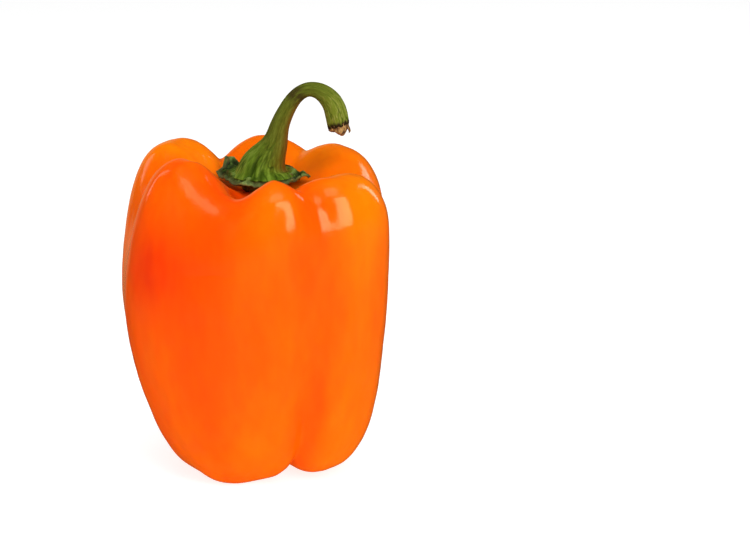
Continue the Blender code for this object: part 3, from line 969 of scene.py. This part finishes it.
@dataclass(frozen=True)
class SkinFinish:
    """Glossy waxy skin from red-orange to yellow-orange, redder with painted shade in the furrows and the
    shaded patches, yellower with painted light on the lit shoulders.
    """

    # The red end of the ramp also serves as painted shade, the yellow end as painted light.
    red: Colour = (0.84, 0.036, 0.0005)
    orange: Colour = (0.95, 0.084, 0.0004)
    yellow: Colour = (0.97, 0.205, 0.0006)

    def make(self) -> bpy.types.Material:
        """The skin's material."""
        graph = Graph(bpy.data.materials.new("pepper skin"))
        place = graph.object_place()
        tall = graph.stretched(place, (1.0, 1.0, 0.35))
        patches = graph.span(graph.noise(tall, 0.020, 3.0), NOISE_SPAN, (-0.10, 0.10))
        mottle = graph.span(graph.noise(tall, 0.0035, 3.0), NOISE_SPAN, (-0.035, 0.035))
        # The tone carries painted light and shade.
        value = graph.maths("ADD", graph.kept("ripeness_and_painted_light"), graph.maths("ADD", patches, mottle))
        # Painted shade: redder in the furrows.
        value = graph.maths("SUBTRACT", value, graph.maths("MULTIPLY", graph.kept("furrow"), 0.09))
        colour = graph.ramp(value, [(0.05, self.red), (0.45, self.orange), (1.0, self.yellow)])
        graph.set("Base Color", colour)
        graph.set("Roughness", graph.span(graph.noise(place, 0.006, 2.0), NOISE_SPAN, (0.12, 0.17)))
        graph.set("IOR", 1.5)
        graph.set("Specular Tint", (1.0, 0.76, 0.42, 1.0))
        graph.set("Subsurface Weight", 0.12)
        graph.set("Subsurface Radius", (1.0, 0.25, 0.05))
        graph.set("Subsurface Scale", 0.0025)
        ripples = graph.noise(graph.stretched(place, (1.0, 1.0, 2.2)), 0.0026, 2.0)
        rippled = graph.bump(ripples, 0.00004)
        dimples = graph.noise(place, 0.0012, 2.0)
        graph.set("Normal", graph.bump(dimples, 0.00001, rippled))
        return graph.owner


@dataclass(frozen=True)
class CalyxFinish:
    """Dark crumpled green, lighter on crests and darker in creases as painted light and shade, with pale thin
    edges and brown scars.
    """

    # dark and light end the ramp of painted shade in creases and painted light on crests.
    dark: Colour = (0.008, 0.016, 0.002)
    green: Colour = (0.038, 0.078, 0.008)
    light: Colour = (0.22, 0.32, 0.08)
    stalk: Colour = (0.095, 0.165, 0.012)
    edge: Colour = (0.20, 0.24, 0.08)
    brown: Colour = (0.085, 0.050, 0.012)

    def make(self) -> bpy.types.Material:
        """The calyx's material."""
        graph = Graph(bpy.data.materials.new("calyx green"))
        place = graph.object_place()
        speckle = graph.noise(place, 0.0012, 3.0)
        # Painted light on the crests and painted shade in the creases.
        value = graph.maths("MULTIPLY", graph.kept("relief_light_and_shade"), 0.75)
        value = graph.maths("ADD", value, graph.span(speckle, NOISE_SPAN, (-0.12, 0.16)))
        colour = graph.ramp(value, [(0.12, self.dark), (0.42, self.green), (0.90, self.light)])
        colour = graph.mix(graph.maths("MULTIPLY", graph.kept("inner"), 0.55), colour, (*self.stalk, 1.0))
        scars = graph.span(graph.noise(place, 0.0035, 3.0), (0.56, 0.68), (0.0, 0.7))
        colour = graph.mix(scars, colour, (*self.brown, 1.0))
        colour = graph.mix(graph.maths("MULTIPLY", graph.kept("rim"), 0.32), colour, (*self.edge, 1.0))
        graph.set("Base Color", colour)
        graph.set("Roughness", graph.span(speckle, NOISE_SPAN, (0.48, 0.66)))
        graph.set("Specular IOR Level", 0.16)
        graph.set("Normal", graph.bump(graph.noise(place, 0.0006, 4.0), 0.00016))
        return graph.owner


@dataclass(frozen=True)
class StalkFinish:
    """Green stalk with painted light on its crests, painted shade in its grooves and creases, a painted
    reflection of the fruit on its inner side, a brown blotch on the bend, pale streaks towards the end that
    are partly scarred skin and partly painted sheen, and a dark torn rim.
    """

    # dark and light end the ramp of painted shade in creases and painted light on crests.
    dark: Colour = (0.022, 0.048, 0.002)
    green: Colour = (0.085, 0.155, 0.010)
    light: Colour = (0.230, 0.330, 0.045)
    olive: Colour = (0.080, 0.078, 0.008)
    end: Colour = (0.170, 0.215, 0.020)
    brown: Colour = (0.035, 0.022, 0.006)
    # Partly pale scarred skin and partly painted sheen on the ridges near the end.
    pale_scar_and_sheen: Colour = (0.27, 0.26, 0.06)
    # A painted reflection of the fruit, brown-orange.
    fruit_reflection: Colour = (0.210, 0.066, 0.006)
    rim: Colour = (0.022, 0.012, 0.005)

    def make(self) -> bpy.types.Material:
        """The stalk's material."""
        graph = Graph(bpy.data.materials.new("stem green"))
        straight = graph.kept("straight", "Vector")
        along = graph.kept("along")
        drawn = graph.stretched(straight, (1.0, 1.0, 0.36))
        streaks = graph.noise(drawn, 0.0007, 5.0)
        # Painted light on the crests.
        value = graph.maths("MULTIPLY", graph.kept("painted_crest_light"), 0.7)
        value = graph.maths("ADD", value, graph.span(streaks, NOISE_SPAN, (-0.08, 0.38)))
        colour = graph.ramp(value, [(0.15, self.dark), (0.50, self.green), (0.95, self.light)])
        smooth = graph.maths("SUBTRACT", 1.0, graph.kept("flare"))
        colour = graph.mix(graph.maths("MULTIPLY", smooth, 0.72), colour, (*self.olive, 1.0))
        ends = graph.span(along, (0.70, 0.90), (0.0, 0.6))
        colour = graph.mix(ends, colour, (*self.end, 1.0))
        # Painted reflection of the fruit on the inner side.
        colour = graph.mix(graph.maths("MULTIPLY", graph.kept("hooked"), 0.85), colour, (*self.fruit_reflection, 1.0))
        # Painted shade in the creases and grooves.
        colour = graph.mix(graph.maths("MULTIPLY", graph.kept("crease"), 0.8), colour, (*self.dark, 1.0))
        patch = graph.maths("MULTIPLY", graph.span(along, (0.50, 0.56), (0.0, 1.0)),
                            graph.span(along, (0.60, 0.66), (1.0, 0.0)))
        blotch = graph.span(graph.noise(straight, 0.003, 3.0), (0.38, 0.56), (0.0, 0.85))
        colour = graph.mix(graph.maths("MULTIPLY", patch, blotch), colour, (*self.brown, 1.0))
        # Pale streaks near the end, partly scarred skin and partly painted sheen on the ridges.
        pale_scar_and_sheen_mask = graph.maths("MULTIPLY", graph.span(along, (0.72, 0.90), (0.0, 1.0)),
                            graph.span(streaks, (0.52, 0.64), (0.0, 0.7)))
        colour = graph.mix(pale_scar_and_sheen_mask, colour, (*self.pale_scar_and_sheen, 1.0))
        colour = graph.mix(graph.kept("torn"), colour, (*self.rim, 1.0))
        graph.set("Base Color", colour)
        graph.set("Roughness", graph.span(streaks, NOISE_SPAN, (0.42, 0.60)))
        graph.set("Specular IOR Level", 0.07)
        graph.set("Specular Tint", (0.85, 1.0, 0.40, 1.0))
        graph.set("Normal", graph.bump(graph.noise(drawn, 0.0007, 4.0), 0.00012))
        return graph.owner


@dataclass(frozen=True)
class PulpFinish:
    """Dry tan pulp with pale fibres and dark gaps."""

    dark: Colour = (0.050, 0.020, 0.004)
    tan: Colour = (0.18, 0.082, 0.016)
    pale: Colour = (0.46, 0.27, 0.08)

    def make(self) -> bpy.types.Material:
        """The pulp's material."""
        graph = Graph(bpy.data.materials.new("torn pulp"))
        place = graph.stretched(graph.object_place(), (1.0, 1.0, 0.45))
        fibres = graph.noise(place, 0.0008, 4.0)
        colour = graph.ramp(fibres, [(0.34, self.dark), (0.48, self.tan), (0.66, self.pale)])
        graph.set("Base Color", colour)
        graph.set("Roughness", 0.8)
        graph.set("Normal", graph.bump(fibres, 0.0005))
        return graph.owner


# Studio


@dataclass(frozen=True)
class Softbox:
    """A soft light, aimed at the pepper from a direction, which its gloss mirrors or doesn't."""

    name: str
    azimuth: float
    elevation: float
    distance: float
    width: float
    height: float
    watts: float
    in_gloss: bool


@dataclass
class Studio:
    """Camera at the photo's angle, a white floor and plain soft light."""

    lens: float = 100.0
    sensor: float = 36.0
    distance: float = 666.7
    elevation: float = 15.0
    target: tuple[float, float, float] = (38.08, 0.0, 62.35)
    middle: tuple[float, float, float] = (0.0, 0.0, 60.0)
    lights: tuple[Softbox, ...] = (
        Softbox("key", 32.0, 30.0, 1000.0, 480.0, 760.0, 6.8, True),
        Softbox("left back strip", -122.0, 24.0, 1100.0, 160.0, 620.0, 0.5, True),
        Softbox("right back strip", 137.0, 20.0, 1100.0, 160.0, 560.0, 0.9, True),
        Softbox("top panel", 0.0, 68.0, 1000.0, 460.0, 400.0, 1.2, True),
        Softbox("overhead fill", 0.0, 80.0, 1200.0, 1100.0, 1100.0, 7.4, False),
        Softbox("left fill", -60.0, 25.0, 1300.0, 900.0, 900.0, 3.0, False),
    )
    background: float = 1.0
    ambient: float = 0.20
    gloss: Colour = (0.16, 0.07, 0.02)
    backdrop: Colour = (0.86, 0.40, 0.18)
    backdrop_way: tuple[float, float, float] = (-0.34, 0.93, 0.10)
    backdrop_edge: float = 0.89
    floor_size: float = 8000.0
    floor_glow: float = 0.80
    floor_base: float = 0.45
    clip: tuple[float, float] = (0.01, 30.0)    # nearest and farthest that the camera sees, in metres

    def build(self, shift: np.ndarray) -> None:
        """Sets up the studio.

        Args:
            shift: From the tables' axis to the frame's, in millimetres.
        """
        self.make_camera(Vector(self.target) + Vector(shift))
        for light in self.lights:
            self.make_light(light)
        self.make_world()
        self.make_floor()
        scene = bpy.context.scene
        scene.view_settings.view_transform = "Standard"
        scene.view_settings.look = "None"

    def make_camera(self, target: Vector) -> None:
        """Adds the camera, aimed at a point in millimetres."""
        data = bpy.data.cameras.new("camera")
        data.lens, data.sensor_width = self.lens, self.sensor
        data.clip_start, data.clip_end = self.clip
        camera = bpy.data.objects.new("camera", data)
        bpy.context.scene.collection.objects.link(camera)
        tilt = math.radians(self.elevation)
        back = Vector((0.0, -math.cos(tilt), math.sin(tilt)))
        camera.location = (target + back * self.distance) * MM
        camera.rotation_euler = (-back).to_track_quat("-Z", "Y").to_euler()
        bpy.context.scene.camera = camera

    def make_light(self, box: Softbox) -> None:
        """Adds one soft light."""
        data = bpy.data.lights.new(box.name, "AREA")
        data.shape = "RECTANGLE"
        data.size, data.size_y = box.width * MM, box.height * MM
        data.energy = box.watts
        turn, rise = math.radians(box.azimuth), math.radians(box.elevation)
        away = Vector((math.sin(turn) * math.cos(rise), -math.cos(turn) * math.cos(rise), math.sin(rise)))
        light = bpy.data.objects.new(box.name, data)
        bpy.context.scene.collection.objects.link(light)
        light.location = (Vector(self.middle) + away * box.distance) * MM
        light.rotation_euler = (-away).to_track_quat("-Z", "Y").to_euler()
        light.visible_glossy = box.in_gloss

    def make_world(self) -> None:
        """White behind the pepper and softer on it, and for its gloss a dim warm room with a lit back."""
        graph = Graph(bpy.data.worlds.new("white studio"), "Background")
        bpy.context.scene.world = graph.owner
        path = graph.node("LightPath").outputs
        plain = graph.span(path["Is Camera Ray"], (0.0, 1.0), (self.ambient, self.background))
        way = graph.node("TexCoord").outputs["Generated"]
        facing = graph.node("VectorMath", {0: way, 1: self.backdrop_way}, operation="DOT_PRODUCT")
        inputs = {"Value": facing.outputs["Value"], "From Min": self.backdrop_edge}
        behind = graph.node("MapRange", inputs, interpolation_type="SMOOTHSTEP").outputs[0]
        room = graph.mix(behind, (*self.gloss, 1.0), (*self.backdrop, 1.0))
        graph.set("Color", graph.mix(path["Is Glossy Ray"], plain, room))

    def make_floor(self) -> None:
        """A plain white floor that glows a little, so that shadows on it stay light."""
        deselect_all()
        bpy.ops.mesh.primitive_plane_add(size=self.floor_size * MM)
        floor = bpy.context.object
        floor.name = "floor"
        graph = Graph(bpy.data.materials.new("white floor"))
        graph.set("Base Color", (self.floor_base, self.floor_base, self.floor_base, 1.0))
        graph.set("Roughness", 0.9)
        graph.set("Specular IOR Level", 0.0)
        graph.set("Emission Color", (1.0, 1.0, 1.0, 1.0))
        graph.set("Emission Strength", self.floor_glow)
        floor.data.materials.append(graph.owner)
        floor.visible_glossy = False
        graph.owner.cycles.emission_sampling = "NONE"


def main() -> None:
    """Builds the pieces in order and dresses them, and then sets up the studio."""
    logging.basicConfig(level=logging.INFO, format="%(name)s: %(message)s")
    pepper = Fruit()
    fruit = pepper.build()
    finish_piece(fruit, "fruit", SkinFinish().make())
    calyx = Calyx().build(fruit, pepper.shift)
    finish_piece(calyx, "calyx", CalyxFinish().make())
    stem = Stem()
    finish_piece(stem.build(pepper.shift), "stem", StalkFinish().make())
    torn = PulpFinish().make()
    finish_piece(Pulp().build(stem, pepper.shift), "stem", torn)
    finish_piece(Splinter().build(pepper.shift), "stem", torn)
    Studio().build(pepper.shift)


if __name__ == "__main__":
    main()
